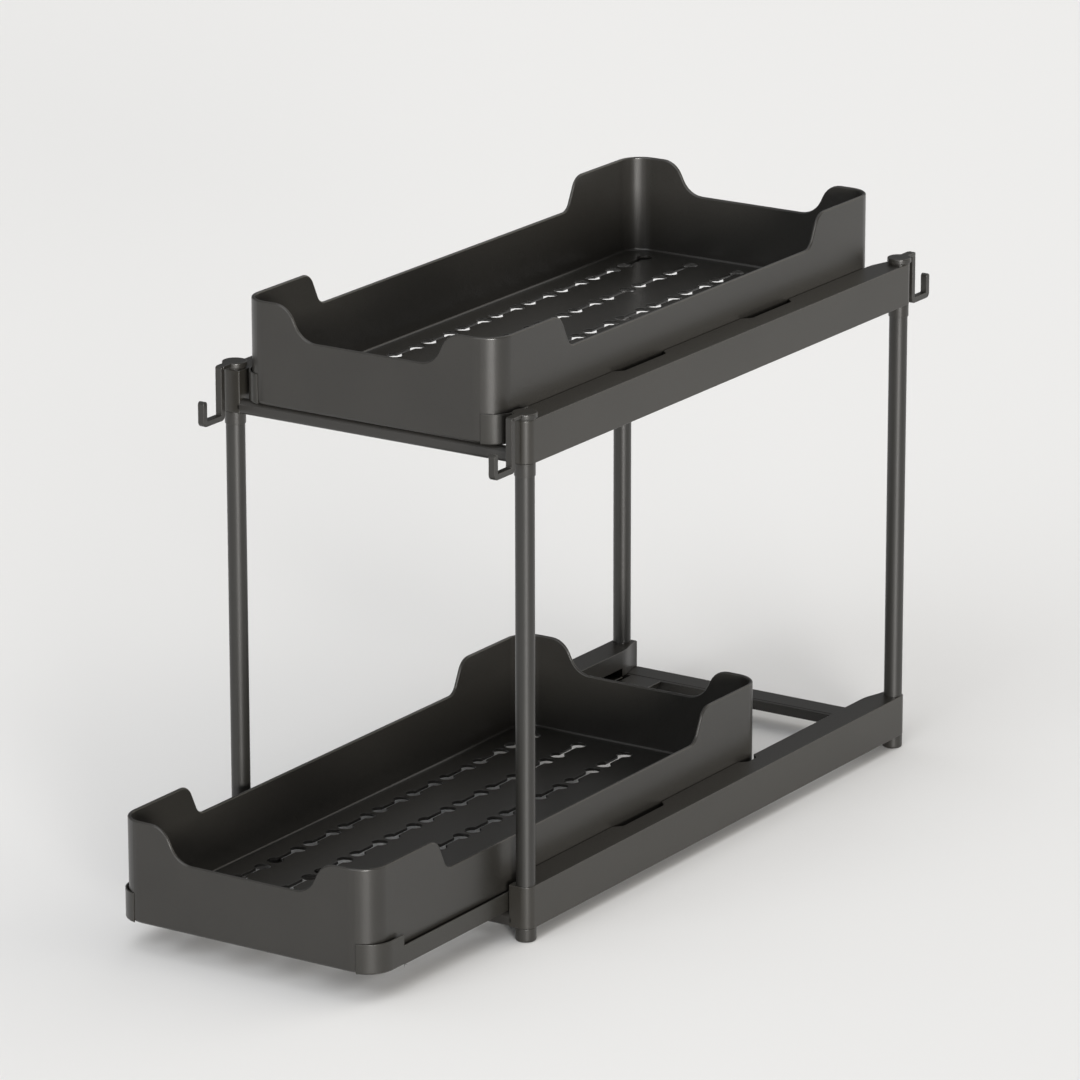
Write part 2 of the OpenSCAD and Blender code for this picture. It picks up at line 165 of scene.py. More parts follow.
def moulded_plastic(name, colour, roughness, cells=2600.0, grain=0.22, drift=0.07):
    """A matt moulding: drifting tone for the colour, grain for the roughness and the bump."""
    material = bpy.data.materials.new(name)
    material.use_nodes = True
    tree = material.node_tree
    shader = tree.nodes["Principled BSDF"]
    tone = tree.nodes.new("ShaderNodeGroup")
    tone.node_tree = tone_drift
    tone.inputs["Colour"].default_value = (*colour, 1)
    tone.inputs["Amount"].default_value = drift
    surface = tree.nodes.new("ShaderNodeGroup")
    surface.node_tree = spark_grain
    surface.inputs["Cells per Metre"].default_value = cells
    surface.inputs["Level"].default_value = roughness
    surface.inputs["Spread"].default_value = 0.05
    bump = tree.nodes.new("ShaderNodeBump")
    bump.inputs["Strength"].default_value = grain
    bump.inputs["Distance"].default_value = 0.00005
    tree.links.new(tone.outputs["Colour"], shader.inputs["Base Color"])
    tree.links.new(surface.outputs["Roughness"], shader.inputs["Roughness"])
    tree.links.new(surface.outputs["Height"], bump.inputs["Height"])
    tree.links.new(bump.outputs["Normal"], shader.inputs["Normal"])
    return material


def place_piece(mesh, node, material, edge):
    """Makes the piece that stands for a node: its material, broken edges of the given radius,
    normals that keep the flat faces flat, and its body."""
    mesh.materials.clear()
    mesh.materials.append(material)
    mesh.shade_smooth()
    mesh.set_sharp_from_angle(angle=sharp_turn)
    piece = bpy.data.objects.new(node + "_finished", mesh)
    bpy.context.scene.collection.objects.link(piece)
    if edge:
        bevel = piece.modifiers.new("broken_edges", "BEVEL")
        bevel.width = edge
        bevel.segments = 3
        bevel.limit_method = "ANGLE"
        bevel.angle_limit = 0.6
        bevel.use_clamp_overlap = False
    normals = piece.modifiers.new("flat_faces", "WEIGHTED_NORMAL")
    normals.weight = 100
    normals.keep_sharp = True
    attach(piece, body_of[node])
    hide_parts(node)
    return piece


def rounded(corners, radii, steps=6):
    """A closed outline with its corners rounded: each corner gives way to an arc of the given
    radius, which starts and ends where it touches the two sides. Returns one row per point."""
    corners = np.asarray(corners, float)
    radii = np.broadcast_to(np.asarray(radii, float), len(corners))[:, None]
    back = np.roll(corners, 1, 0) - corners
    ahead = np.roll(corners, -1, 0) - corners
    back /= np.linalg.norm(back, axis=1, keepdims=True)
    ahead /= np.linalg.norm(ahead, axis=1, keepdims=True)
    spread = np.arccos(np.clip((back * ahead).sum(1, keepdims=True), -1, 1))
    middle = back + ahead
    middle /= np.linalg.norm(middle, axis=1, keepdims=True)
    centre = corners + middle * radii / np.sin(spread / 2)
    reach = radii / np.tan(spread / 2)
    first = (corners + back * reach - centre)[:, None, :]
    last = (corners + ahead * reach - centre)[:, None, :]
    turn = (np.pi - spread)[:, :, None]
    share = np.linspace(0, 1, steps + 1)[None, :, None]
    arcs = (np.sin((1 - share) * turn) * first + np.sin(share * turn) * last) / np.sin(turn)
    return (centre[:, None, :] + arcs).reshape(-1, 2)


def grid_faces(rows, columns, first=0, rows_close=False, columns_close=False):
    """Quads between neighbouring points of a grid that is stored row by row."""
    index = first + np.arange(rows * columns).reshape(rows, columns)
    if rows_close:
        index = np.vstack([index, index[:1]])
    if columns_close:
        index = np.hstack([index, index[:, :1]])
    return np.stack([index[:-1, :-1], index[:-1, 1:], index[1:, 1:], index[1:, :-1]], -1).reshape(-1, 4)


def mesh_of(name, shells):
    """One mesh from closed shells, each a list of points and a list of faces. Doubles along a
    shell's seams and at its poles are merged, and its faces are turned outwards."""
    whole = bmesh.new()
    part = bpy.data.meshes.new(name)
    for points, faces in shells:
        part.clear_geometry()
        part.from_pydata(points.tolist(), [], [list(face) for face in faces])
        work = bmesh.new()
        work.from_mesh(part)
        bmesh.ops.remove_doubles(work, verts=work.verts, dist=0.000001)
        bmesh.ops.dissolve_degenerate(work, dist=0.000001, edges=work.edges)
        bmesh.ops.recalc_face_normals(work, faces=work.faces)
        work.to_mesh(part)
        work.free()
        whole.from_mesh(part)
    whole.to_mesh(part)
    whole.free()
    return part


def densified(outline, step):
    """The same closed outline with further points on its long sides, at most a step apart."""
    closed = np.vstack([outline, outline[:1]])
    way = np.concatenate([[0], np.cumsum(np.linalg.norm(np.diff(closed, axis=0), axis=1))])
    marks = np.union1d(way[:-1], np.arange(0, way[-1], step))
    return np.stack([np.interp(marks, way, closed[:, 0]), np.interp(marks, way, closed[:, 1])], -1)


def notch_stations(start, length):
    """Places along the rail and depths of one notch in the flange's inner edge. Its ends slant
    at 45 degrees and turn into the bottom of the notch by an arc."""
    turn = notch_depth + notch_r * np.tan(np.pi / 8)
    arc = np.linspace(np.pi / 4, 0, 5)
    near = np.concatenate([[start], start + turn - notch_r * np.sin(arc)])
    depth = np.concatenate([[0], notch_depth - notch_r * (1 - np.cos(arc))])
    return np.concatenate([near, (2 * start + length - near)[::-1]]), np.concatenate([depth, depth[::-1]])


def rail_channel(outer_x, inner_x, height, end_y, rear_notch):
    """The C-section carried from block to block. Its flange's edge draws back into the two
    notches, and near the rear block the flange reaches down as a skirt."""
    under = height - flange_t
    web_x = outer_x - web_t
    corners = [(outer_x, 0), (outer_x, height), (inner_x, height), (inner_x, skirt_z),
               (inner_x + web_t, skirt_z), (inner_x + web_t, under), (web_x, under), (web_x, ledge_z),
               (inner_x, ledge_z), (inner_x, ledge_z - ledge_t), (web_x, ledge_z - ledge_t), (web_x, 0)]
    section = rounded(corners, [rail_edge, rail_edge] + [rail_edge * 0.7] * 10, 4)
    flange = np.arange(len(section)) // 5
    moves = np.isin(flange, [2, 3, 4, 5])
    hangs = np.isin(flange, [3, 4, 5])
    front_y, front_depth = notch_stations(-notch_from - notch_l, notch_l)
    rear_y, rear_depth = notch_stations(notch_from, rear_notch)
    skirt_y = end_y - skirt_l
    y = np.concatenate([[-end_y], front_y, rear_y, [skirt_y, skirt_y, end_y]])
    depth = np.concatenate([[0], front_depth, rear_depth, [0, 0, 0]])
    skirt = np.arange(len(y)) >= len(y) - 2
    x = section[:, 0] + depth[:, None] * moves
    z = np.where(skirt[:, None] | ~hangs, section[:, 1], np.maximum(section[:, 1], under))
    points = np.stack([x, np.broadcast_to(y[:, None], x.shape), z], -1)
    stations, count = x.shape
    ends = [list(range(count - 1, -1, -1)), list(range((stations - 1) * count, stations * count))]
    return points.reshape(-1, 3), grid_faces(stations, count, columns_close=True).tolist() + ends


def rail_block(outer_x, height, channel_y, end_y, post_x, post_y, bore_r):
    """The block at a rail's end: a plan that is square inside and round about the post outside,
    carried up with both edges rounded, and closed by a bore for the post. Each point of the
    plan goes with the point of the bore that lies in its own direction."""
    tiny = 0.00002
    boss_r = outer_x - post_x
    corners = np.array([(block_x, channel_y), (outer_x, channel_y), (outer_x, end_y), (block_x, end_y)])
    radii = np.array([tiny, tiny, boss_r, 0.0006])
    plan = densified(rounded(corners, radii, 12), 0.0009)
    away = plan - [post_x, post_y]
    reach = np.linalg.norm(away, axis=1, keepdims=True)
    bore = [post_x, post_y] + away / reach * bore_r
    middle = np.array([(block_x + outer_x) / 2, (channel_y + end_y) / 2])
    half = np.array([(outer_x - block_x) / 2, abs(end_y - channel_y) / 2])
    arc = np.linspace(0, np.pi / 2, 4)
    shrink = rail_edge * np.concatenate([1 - np.sin(arc), (1 - np.cos(arc))])
    level = np.concatenate([rail_edge * (1 - np.cos(arc)), height - rail_edge + rail_edge * np.sin(arc)])
    scale = 1 - shrink[:, None, None] / half
    open_side = np.abs(plan[:, 1] - channel_y) < tiny * 2
    rings = middle + (plan - middle) * scale
    rings[:, open_side, 1] = plan[open_side, 1]
    ring_z = np.broadcast_to(level[:, None], rings.shape[:2])
    bore_z = np.broadcast_to([[height], [0.0]], (2, len(plan)))
    bores = np.broadcast_to(bore, (2, len(plan), 2))
    points = np.concatenate([np.dstack([rings, ring_z]), np.dstack([bores, bore_z])])
    return points.reshape(-1, 3), grid_faces(len(points), len(plan), rows_close=True, columns_close=True)


def rail_gusset(inner_x, height, channel_y, end_y):
    """A slender wedge that leads the flange's inner edge over into the rear block. Its plan is
    half a cosine wave, and its upper edge is rounded like the flange's."""
    share = np.linspace(0, 1, 11)
    y = channel_y - 0.0002 + (end_y - channel_y - 0.0012) * share
    edge_x = inner_x + (block_x - inner_x) * (1 - np.cos(np.pi * share)) / 2
    arc = np.linspace(np.pi, np.pi / 2, 5)
    soft = rail_edge * 0.7
    top, low, deep = height - 0.00002, ledge_z + 0.0002, block_x + 0.0006
    x = np.column_stack([edge_x, edge_x[:, None] + soft * (1 + np.cos(arc)), np.full((11, 2), deep)])
    z = np.concatenate([[low], top - soft + soft * np.sin(arc), [top, low]])
    points = np.stack([x, np.broadcast_to(y[:, None], x.shape), np.broadcast_to(z, x.shape)], -1)
    stations, count = x.shape
    ends = [list(range(count - 1, -1, -1)), list(range((stations - 1) * count, stations * count))]
    return points.reshape(-1, 3), grid_faces(stations, count, columns_close=True).tolist() + ends


rail_plastic = moulded_plastic("rail_plastic", rail_colour, rail_roughness)
for node in node_of_slot["rail"]:
    low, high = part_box(node)
    side = 1 if high.x > 0 else -1
    outer_x = abs(high.x) if side > 0 else abs(low.x)
    height = high.z - low.z
    post_low, post_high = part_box("rear_right_post")
    bore_r = (post_high.x - post_low.x) / 2 + post_fit
    post_x, post_y = (post_low.x + post_high.x) / 2, (post_low.y + post_high.y) / 2
    channel_y = high.y - block_l
    inner_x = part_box("upper_basket")[1].x + flange_gap
    rear_notch = short_notch_l if node.startswith("lower") else notch_l
    shells = [rail_channel(outer_x, inner_x, height, channel_y, rear_notch),
              rail_block(outer_x, height, channel_y, high.y, post_x, post_y, bore_r),
              rail_gusset(inner_x, height, channel_y, high.y),
              rail_block(outer_x, height, -channel_y, low.y, post_x, -post_y, bore_r)]
    shells = [(points * [side, 1, 1] + [0, 0, low.z], faces) for points, faces in shells]
    place_piece(mesh_of(node, shells), node, rail_plastic, 0)


# The four feet: short turned-looking pegs, moulded with a rounded bottom edge. The stem above
# the peg is pressed into the bore of the lower rail and carries the post.
foot_colour = (0.0144, 0.0136, 0.0120)
foot_round = 0.0012
foot_turns = 48


def turned(profile, centre, turns):
    """A closed profile of radius and height carried once round a vertical axis."""
    angle = np.arange(turns) * 2 * np.pi / turns
    radius, height = profile[:, 0], profile[:, 1]
    points = np.stack([centre[0] + np.outer(np.cos(angle), radius), centre[1] + np.outer(np.sin(angle), radius),
                       centre[2] + np.outer(np.ones(turns), height)], -1)
    return points.reshape(-1, 3), grid_faces(turns, len(profile), rows_close=True, columns_close=True)


def solid_profile(steps, radii):
    """Half section of a turned solid: up the steps' outside, with each corner rounded. The
    axis stands a hair off the centre line, so that the pole closes when doubles merge."""
    axis = 0.0000001
    corners = [(axis, steps[0][1])] + list(steps) + [(axis, steps[-1][1])]
    return rounded(corners, [axis / 4, *radii, axis / 4])


foot_plastic = moulded_plastic("foot_plastic", foot_colour, 0.32)
for node in node_of_slot["foot"]:
    low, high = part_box(node)
    centre = ((low.x + high.x) / 2, (low.y + high.y) / 2, low.z)
    peg_r = (high.x - low.x) / 2
    stem_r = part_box(node.replace("foot", "post"))[1].x / 2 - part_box(node.replace("foot", "post"))[0].x / 2
    peg_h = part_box("lower_left_rail")[0].z
    profile = solid_profile([(peg_r, 0), (peg_r, peg_h), (stem_r, peg_h), (stem_r, high.z)],
                            [foot_round, 0.0003, 0.0001, 0.0003])
    place_piece(mesh_of(node, [turned(profile, centre, foot_turns)]), node, foot_plastic, 0)


# The four posts: thin steel tube, cut square and powder-coated in satin dark grey. Each
# stands on a foot's stem, passes the collar and ends under the plug of a hook.
post_colour = (0.0120, 0.0116, 0.0104)
post_wall = 0.0008
post_turns = 56


def ring_profile(inner, outer, bottom, top, edge):
    """Section of a ring or tube: a thin upright rectangle with its four corners broken."""
    return rounded([(inner, bottom), (outer, bottom), (outer, top), (inner, top)], edge, 3)


post_coat = moulded_plastic("post_coat", post_colour, 0.36, cells=1500.0, grain=0.10, drift=0.04)
for node in node_of_slot["post"]:
    low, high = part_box(node)
    centre = ((low.x + high.x) / 2, (low.y + high.y) / 2, low.z)
    post_r = (high.x - low.x) / 2
    profile = ring_profile(post_r - post_wall, post_r, 0, high.z - low.z, 0.00015)
    place_piece(mesh_of(node, [turned(profile, centre, post_turns)]), node, post_coat, 0)


# The four collars: thin moulded rings on the posts, pushed up under the upper rails, where
# they hide the end of the bore. Their lower edge is rounded.
collar_colour = (0.0144, 0.0136, 0.0120)
collar_wall = 0.00045
collar_plastic = moulded_plastic("collar_plastic", collar_colour, 0.32)
for node in node_of_slot["collar"]:
    low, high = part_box(node)
    centre = ((low.x + high.x) / 2, (low.y + high.y) / 2, low.z)
    collar_r = (high.x - low.x) / 2
    profile = ring_profile(collar_r - collar_wall, collar_r, 0, high.z - low.z, 0.00018)
    place_piece(mesh_of(node, [turned(profile, centre, post_turns)]), node, collar_plastic, 0)


# The two front bars: plain moulded bars with well rounded edges. Their ends sit in the
# front blocks of the rails, just under the drawers' path.
bar_colour = (0.0144, 0.0136, 0.0124)
bar_round = 0.003


def straight_bar(outline, axis, start, end):
    """A closed outline carried straight along X, from start to end, with flat ends. The
    outline's two columns are the other two axes in their own order."""
    ring = np.insert(np.asarray(outline, float), axis, 0.0, 1)
    points = np.stack([ring, ring])
    points[0, :, axis] = start
    points[1, :, axis] = end
    count = len(ring)
    ends = [list(range(count - 1, -1, -1)), list(range(count, 2 * count))]
    return points.reshape(-1, 3), grid_faces(2, count, columns_close=True).tolist() + ends


bar_plastic = moulded_plastic("bar_plastic", bar_colour, 0.32)
for node in node_of_slot["bar"]:
    low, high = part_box(node)
    outline = rounded([(low.y, low.z), (high.y, low.z), (high.y, high.z), (low.y, high.z)], bar_round, 8)
    place_piece(mesh_of(node, [straight_bar(outline, 0, low.x, high.x)]), node, bar_plastic, 0)


# The two rear beams: flat moulded members between the rear blocks, with two tongues that
# reach forward under the drawer and a low strip along the front edge.
beam_colour = (0.0168, 0.0156, 0.0132)
beam_edge = 0.0004
strip_w = 0.0023
strip_d = 0.0002
tongue_w = 0.021
tongue_l = 0.022
tongue_t = 0.003
tongue_gap = 0.006
tenon_h = 0.0034
beam_d = 0.017
beam_plastic = moulded_plastic("beam_plastic", beam_colour, 0.34)
for node in node_of_slot["beam"]:
    low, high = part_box(node)
    front, rear = high.y - beam_d, high.y
    end_x = block_x - 0.0001
    section = rounded([(front, low.z), (rear, low.z), (rear, high.z), (front + strip_w, high.z),
                       (front + strip_w, high.z - strip_d), (front, high.z - strip_d)],
                      [beam_edge, beam_edge, beam_edge, 0.0001, 0.00005, beam_edge], 4)
    tenon_z = (low.z + high.z - tenon_h) / 2
    tenon = rounded([(front + 0.0001, tenon_z), (rear - 0.0079, tenon_z), (rear - 0.0079, tenon_z + tenon_h),
                     (front + 0.0001, tenon_z + tenon_h)], 0.0002, 2)
    shells = [straight_bar(section, 0, -end_x, end_x), straight_bar(tenon, 0, low.x, high.x)]
    for side in (-1, 1):
        tongue_x = np.sort([side * (block_x - tongue_gap), side * (block_x - tongue_gap - tongue_w)])
        top = high.z - strip_d - 0.00002
        tongue = rounded([(tongue_x[0], top - tongue_t), (tongue_x[1], top - tongue_t), (tongue_x[1], top),
                          (tongue_x[0], top)], beam_edge, 4)
        shells.append(straight_bar(tongue, 1, front - tongue_l, front + 0.001))
    place_piece(mesh_of(node, shells), node, beam_plastic, 0.0003)


# The four hooks, each one moulding: a round cap with a plug that presses into the top of
# a post, a flat neck, and a J-shaped band that hangs in front of the rail's end.
hook_colour = (0.0144, 0.0136, 0.0120)
hook_edge = 0.00035
flush_step = 0.00003
cap_r = 0.0068
cap_h = 0.0028
shank_r = 0.0060
shank_h = 0.0008
plug_r = 0.0052
band_w = 0.004
band_t = 0.0033
band_gap = 0.0059
hook_reach = 0.0161
tip_h = 0.014
hook_r = 0.0028
neck_w = 0.005
neck_t = 0.002
hook_plastic = moulded_plastic("hook_plastic", hook_colour, 0.32)


def hook_outline(back, low, top, out):
    """The J seen from the side, with the band's back edge at back, going down to low, out by
    the reach and up to the tip. Outer corners are round and the tip is a half circle."""
    face = back + out * band_t
    tip = face + out * hook_reach
    floor = low + band_t
    tip_top = low + tip_h
    corners = [(back, top), (back, low), (tip, low), (tip, tip_top), (tip - out * band_t, tip_top),
               (tip - out * band_t, floor), (face, floor), (face, top)]
    return rounded(corners, [0.0012, hook_r, hook_r, 0.00164, 0.00164, 0.0003, 0.0003, 0.0012], 8)


for node in node_of_slot["hook"]:
    low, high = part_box(node)
    post_low, post_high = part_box(node.replace("hook", "post"))
    centre_x, centre_y = (post_low.x + post_high.x) / 2, (post_low.y + post_high.y) / 2
    out = -1 if centre_y < 0 else 1
    rail_top = high.z - cap_h - shank_h
    rail_end = abs(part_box("upper_left_rail")[0].y) * out
    cap = solid_profile([(plug_r, post_high.z - rail_top), (plug_r, 0), (shank_r, 0), (shank_r, shank_h),
                         (cap_r, shank_h), (cap_r, cap_h + shank_h - 2 * flush_step)],
                        [0.0003, 0.0001, 0.0001, 0.0001, 0.0003, 0.0007])
    back = rail_end + out * band_gap
    outline = hook_outline(back, low.z, high.z, out)
    neck_ys = sorted([centre_y, back + out * band_t / 2])
    neck_top = high.z - flush_step
    neck = rounded([(centre_x - neck_w / 2, high.z - neck_t), (centre_x + neck_w / 2, high.z - neck_t),
                    (centre_x + neck_w / 2, neck_top), (centre_x - neck_w / 2, neck_top)], 0.0004, 4)
    shells = [turned(cap, (centre_x, centre_y, rail_top), 56), straight_bar(neck, 1, *neck_ys),
              straight_bar(outline, 0, centre_x - band_w / 2, centre_x + band_w / 2)]
    place_piece(mesh_of(node, shells), node, hook_plastic, hook_edge)


# The two baskets, moulded in one shot: a slotted floor, walls with a full-round rim that
# dips between the raised corners, and dog-bone slots with softly rounded lips.
basket_colour = (0.0144, 0.0136, 0.0120)
wall_t = 0.002
floor_t = 0.0021
rim_h = 0.0386
corner_r = 0.015
bottom_r = 0.0025
floor_r = 0.0015
dip_slope = np.radians(64)
end_dip = dict(mid=0.046, top_r=0.013, low_r=0.014, steps=(3, 6, 6, 1))
side_dip = dict(mid=0.1275, top_r=0.010, low_r=0.007, steps=(40, 8, 10, 10))
slot_rows, slot_count = 5, 11
row_pitch, slot_pitch = 0.031, 0.0331
slot_span = 0.0212
slot_end_r = 0.0045
slot_neck = 0.003
slot_lip = 0.00035
slot_under = 0.0009
cell_edge_x = 0.070
pad_wrap = 0.0102
pad_seam = 0.0005
basket_plastic = moulded_plastic("basket_plastic", basket_colour, 0.32)


def half_wall(end, corner_h, mid, top_r, low_r, steps):
    """Distance from the middle of a wall, height of the rim and slope of the rim, along half a
    wall. The rim is level, climbs by a hollow arc, a straight run and a full arc, and is
    level again up to the corner."""
    level_n, low_n, top_n, end_n = steps
    rise = corner_h - rim_h
    run = (rise - (top_r + low_r) * (1 - np.cos(dip_slope))) / np.tan(dip_slope)
    half = (run + (top_r + low_r) * np.sin(dip_slope)) / 2
    hollow = np.linspace(0, dip_slope, low_n + 1)
    full = np.linspace(dip_slope, 0, top_n + 1)
    distance = np.concatenate([np.linspace(0, mid - half, level_n, endpoint=False),
                               mid - half + low_r * np.sin(hollow), mid + half - top_r * np.sin(full),
                               np.linspace(mid + half, end, end_n + 1)[1:]])
    height = np.concatenate([np.full(level_n, rim_h), rim_h + low_r * (1 - np.cos(hollow)),
                             corner_h - top_r * (1 - np.cos(full)), np.full(end_n, corner_h)])
    slope = np.concatenate([np.zeros(level_n), hollow, full, np.zeros(end_n)])
    return distance, height, slope


def wall_stations(half_x, half_y, corner_h):
    """Stations round the basket's outside, from the middle of the front and counter-clockwise:
    place, outward direction, rim height and rim slope. A quarter is worked out, and its
    mirror image and their half turn give the rest."""
    straight_x, straight_y = half_x - corner_r, half_y - corner_r
    across, across_h, across_slope = half_wall(straight_x, corner_h, **end_dip)
    along, along_h, along_slope = half_wall(straight_y, corner_h, **side_dip)
    seam = np.degrees(np.arcsin((half_x - pad_wrap - straight_x) / corner_r))
    turn = np.radians(np.concatenate([[6, 12, seam - 0.6, seam, seam + 0.6, 27, 36],
                                      np.linspace(45, 90, 9)[:-1]]))
    x = np.concatenate([across, straight_x + corner_r * np.sin(turn), np.full(len(along), half_x)])
    y = np.concatenate([np.full(len(across), -half_y), -straight_y - corner_r * np.cos(turn), -along[::-1]])
    out_x = np.concatenate([np.zeros(len(across)), np.sin(turn), np.ones(len(along))])
    out_y = np.concatenate([-np.ones(len(across)), -np.cos(turn), np.zeros(len(along))])
    height = np.concatenate([across_h, np.full(len(turn), corner_h), along_h[::-1]])
    slope = np.concatenate([across_slope, np.zeros(len(turn)), -along_slope[::-1]])
    quarter = np.stack([x, y, out_x, out_y, height, slope])[:, :-1]
    whole = np.stack([x, y, out_x, out_y, height, slope])
    mirrored = (whole * np.array([1, -1, 1, -1, 1, -1])[:, None])[:, :0:-1]
    half_turn = np.array([-1, -1, -1, -1, 1, 1])[:, None]
    return np.hstack([quarter, mirrored, quarter * half_turn, mirrored * half_turn])


def cell_frame():
    """The rectangle that holds all slots, cut into as many steps as the wall has stations."""
    across = np.interp(np.arange(26), [0, 5, 15, 25], [0, row_pitch / 2, row_pitch * 1.5, cell_edge_x])
    along = np.linspace(0, slot_count * slot_pitch / 2, 78)
    x = np.concatenate([across, np.full(77, cell_edge_x)])
    y = np.concatenate([np.full(26, -along[-1]), -along[::-1][1:]])
    quarter = np.stack([x, y])
    mirrored = (quarter * np.array([[1], [-1]]))[:, :0:-1]
    return np.hstack([quarter[:, :-1], mirrored, -quarter[:, :-1], -mirrored])


def basket_walls(half_x, half_y, corner_h, seam_top):
    """The wall's section carried round the stations: under the floor, round the bottom edge,
    up the outside, over the full-round rim, down the inside and round into the floor. The
    rim's half circle stands square to the rim's own slope."""
    x, y, out_x, out_y, height, slope = wall_stations(half_x, half_y, corner_h)
    frame_x, frame_y = cell_frame()
    count = len(x)
    rim_r = wall_t / 2
    bottom = np.linspace(1.5 * np.pi, np.pi, 7)
    inset = np.concatenate([bottom_r + bottom_r * np.cos(bottom), [0, 0, 0]])
    level = np.concatenate([bottom_r + bottom_r * np.sin(bottom), [seam_top - 0.0003, seam_top, seam_top + 0.0003]])
    floor_turn = np.linspace(np.pi, 1.5 * np.pi, 6)
    in_inset = wall_t + floor_r + floor_r * np.cos(floor_turn)
    in_level = floor_t + floor_r + floor_r * np.sin(floor_turn)
    seam = (np.abs(np.abs(x) - (half_x - pad_wrap)) < 0.00001) & (y < 0)
    below = (level < seam_top)[:, None] & seam[None, :]
    lower = np.broadcast_to(inset[:, None], (len(inset), count)) + pad_seam * below
    outer = np.stack([x - lower * out_x, y - lower * out_y, np.broadcast_to(level[:, None], lower.shape)], -1)
    inner = np.stack([x - in_inset[:, None] * out_x, y - in_inset[:, None] * out_y,
                      np.broadcast_to(in_level[:, None], (len(in_level), count))], -1)
    along = np.stack([-out_y, out_x, np.zeros(count)], -1)
    outward = np.stack([out_x, out_y, np.zeros(count)], -1)
    upward = -np.sin(slope)[:, None] * along + np.cos(slope)[:, None] * np.array([0, 0, 1.0])
    crest = np.stack([x - rim_r * out_x, y - rim_r * out_y, height], -1) - rim_r * upward
    over = np.linspace(0, np.pi, 9)[:, None, None]
    rim = crest + rim_r * (np.cos(over) * outward + np.sin(over) * upward)
    under_frame = np.stack([frame_x, frame_y, np.zeros(count)], -1)[None]
    floor_frame = np.stack([frame_x, frame_y, np.full(count, floor_t)], -1)[None]
    points = np.concatenate([under_frame, outer, rim, inner, floor_frame])
    return points.reshape(-1, 3), grid_faces(len(points), count, columns_close=True)


def slot_outline():
    """A dog-bone: two round ends joined by a neck, from the middle of the neck's right side and
    counter-clockwise. Returns the points and their directions into the plastic."""
    half_neck = slot_neck / 2
    dent = np.arcsin(half_neck / slot_end_r)
    ends = np.linspace(-np.pi / 2 + dent, 1.5 * np.pi - dent, 21)
    neck_y = slot_span / 2 - slot_end_r * np.cos(dent)
    upper = np.stack([slot_end_r * np.cos(ends), slot_span / 2 + slot_end_r * np.sin(ends)], -1)
    upper_out = np.stack([np.cos(ends), np.sin(ends)], -1)
    corner = (np.pi / 2 - dent) / 2
    mitre = np.array([[np.cos(corner), -np.sin(corner)], [-np.cos(corner), -np.sin(corner)]])
    upper_out[[0, -1]] = mitre / np.cos(corner) * np.array([[1.0], [1.0]])
    left = np.stack([np.full(3, -half_neck), np.linspace(neck_y, -neck_y, 5)[1:-1]], -1)
    points = np.concatenate([[[half_neck, 0.0]], [[half_neck, neck_y / 2]], upper, left, -upper,
                             [[half_neck, -neck_y / 2]]])
    outward = np.concatenate([[[1.0, 0.0]], [[1.0, 0.0]], upper_out, np.tile([[-1.0, 0.0]], (3, 1)), -upper_out,
                              [[1.0, 0.0]]])
    return points, outward


def floor_cells():
    """One cell of the floor round each slot: a ring from the cell's rectangle on top, over the
    slot's lip, down its wall and round its wide lower edge to the rectangle below. All cells are
    one array of cell, ring and point."""
    outline, outward = slot_outline()
    step = np.arange(len(outline))
    square_x = np.interp(step, [0, 7, 17, 31, 41, 48], [1, 1, -1, -1, 1, 1])
    square_y = np.interp(step, [0, 7, 17, 31, 41, 48], [0, 1, 1, -1, -1, 0])
    rows = (np.arange(slot_rows) - (slot_rows - 1) / 2) * row_pitch
    left = np.where(np.arange(slot_rows) == 0, -cell_edge_x, rows - row_pitch / 2)
    right = np.where(np.arange(slot_rows) == slot_rows - 1, cell_edge_x, rows + row_pitch / 2)
    places = (np.arange(slot_count) - (slot_count - 1) / 2) * slot_pitch
    centre_x, centre_y = np.meshgrid(rows, places, indexing="ij")
    edge_x = np.where(square_x[None, None, :] > 0, right[:, None, None], left[:, None, None])
    middle_x = (left + right)[:, None, None] / 2
    half_x = (right - left)[:, None, None] / 2
    edge_x = middle_x + half_x * square_x + np.zeros((slot_rows, slot_count, 1))
    edge_y = centre_y[:, :, None] + slot_pitch / 2 * square_y
    lip = np.linspace(np.pi / 2, 0, 3)[:, None]
    under = np.linspace(0, np.pi / 2, 5)[:, None]
    spread = np.concatenate([slot_lip * (1 - np.cos(lip)), slot_under * (1 - np.cos(under))])
    level = np.concatenate([floor_t - slot_lip * (1 - np.sin(lip)), slot_under * (1 - np.sin(under))])
    ring_x = centre_x[:, :, None, None] + outline[:, 0] + spread * outward[:, 0]
    ring_y = centre_y[:, :, None, None] + outline[:, 1] + spread * outward[:, 1]
    ring_z = np.broadcast_to(level, ring_x.shape)
    rings = np.stack([ring_x, ring_y, ring_z], -1)
    top = np.stack([edge_x, edge_y, np.full(edge_x.shape, floor_t)], -1)[:, :, None]
    under = np.stack([edge_x, edge_y, np.zeros(edge_x.shape)], -1)[:, :, None]
    cells = np.concatenate([top, rings, under], 2)
    ring_count, point_count = cells.shape[2:4]
    faces = grid_faces(ring_count, point_count, columns_close=True)
    starts = np.arange(slot_rows * slot_count) * ring_count * point_count
    return cells.reshape(-1, 3), (faces[None] + starts[:, None, None]).reshape(-1, 4)


